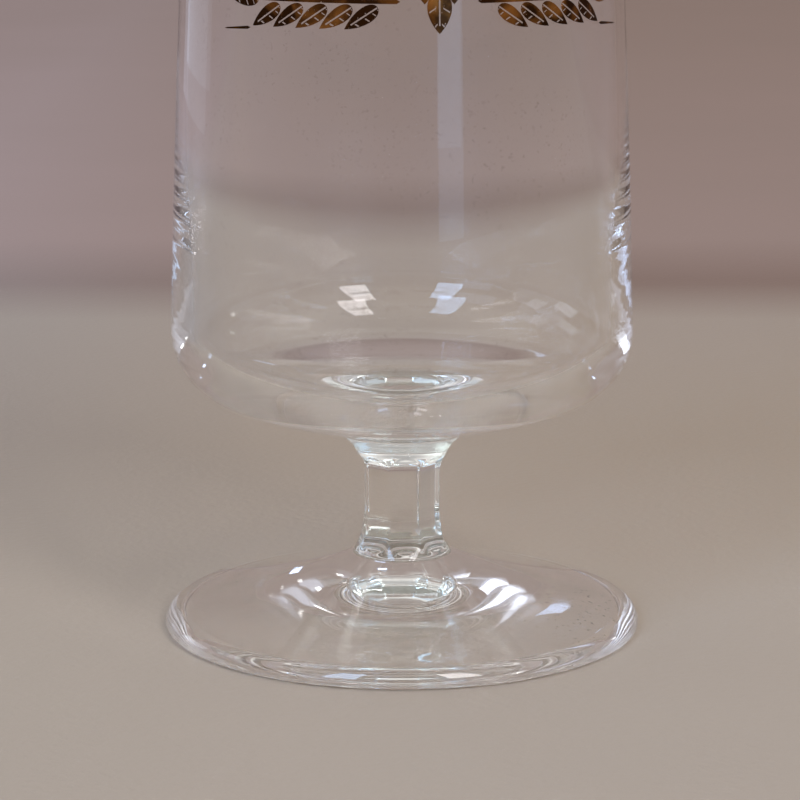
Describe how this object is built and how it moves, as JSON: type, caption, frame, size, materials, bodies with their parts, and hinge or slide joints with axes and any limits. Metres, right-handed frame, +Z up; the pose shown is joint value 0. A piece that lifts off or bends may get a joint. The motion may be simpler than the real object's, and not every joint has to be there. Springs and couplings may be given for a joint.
{
  "type": "beer glass",
  "caption": "Stemmed beer glass: a tapering clear bowl with a fired gold barley and hop frieze, a short faceted stem and a coned round foot.",
  "frame": {"origin": "centre of the foot's standing ring, on the surface that the glass stands on", "axes": "+Z up along the glass's axis, the gold frieze faces -Y, turned 9 degrees towards +X"},
  "size_m": [0.07, 0.07, 0.165],
  "materials": {
    "clear_glass": "fire-polished, clear and colourless with a faint green cast at thick edges",
    "fired_gold": "thin bright fired-on gold, brown where it reflects the dark and orange where it reflects the light",
    "white_enamel": "thin fired-on white enamel, satin"
  },
  "bodies": {
    "root": {"foot": "clear_glass", "stem": "clear_glass", "bowl": "clear_glass", "right_stalk": "fired_gold", "right_upper_kernel_1": "fired_gold", "right_upper_kernel_2": "fired_gold", "right_upper_kernel_3": "fired_gold", "right_upper_kernel_4": "fired_gold", "right_upper_kernel_5": "fired_gold", "right_upper_awn": "fired_gold", "right_lower_kernel_1": "fired_gold", "right_lower_kernel_2": "fired_gold", "right_lower_kernel_3": "fired_gold", "right_lower_kernel_4": "fired_gold", "right_lower_kernel_5": "fired_gold", "right_lower_awn": "fired_gold", "right_tip_kernel": "fired_gold", "left_stalk": "fired_gold", "left_upper_kernel_1": "fired_gold", "left_upper_kernel_2": "fired_gold", "left_upper_kernel_3": "fired_gold", "left_upper_kernel_4": "fired_gold", "left_upper_kernel_5": "fired_gold", "left_upper_awn": "fired_gold", "left_lower_kernel_1": "fired_gold", "left_lower_kernel_2": "fired_gold", "left_lower_kernel_3": "fired_gold", "left_lower_kernel_4": "fired_gold", "left_lower_kernel_5": "fired_gold", "left_lower_awn": "fired_gold", "left_tip_kernel": "fired_gold", "hop_bract_1_1": "fired_gold", "hop_bract_2_1": "fired_gold", "hop_bract_2_2": "fired_gold", "hop_bract_3_1": "fired_gold", "hop_bract_3_2": "fired_gold", "hop_bract_3_3": "fired_gold", "hop_bract_4_1": "fired_gold", "hop_bract_4_2": "fired_gold", "hop_stem": "fired_gold", "hop_leaf_right": "fired_gold", "hop_leaf_left": "fired_gold", "fill_line": "white_enamel"}
  },
  "joints": []
}
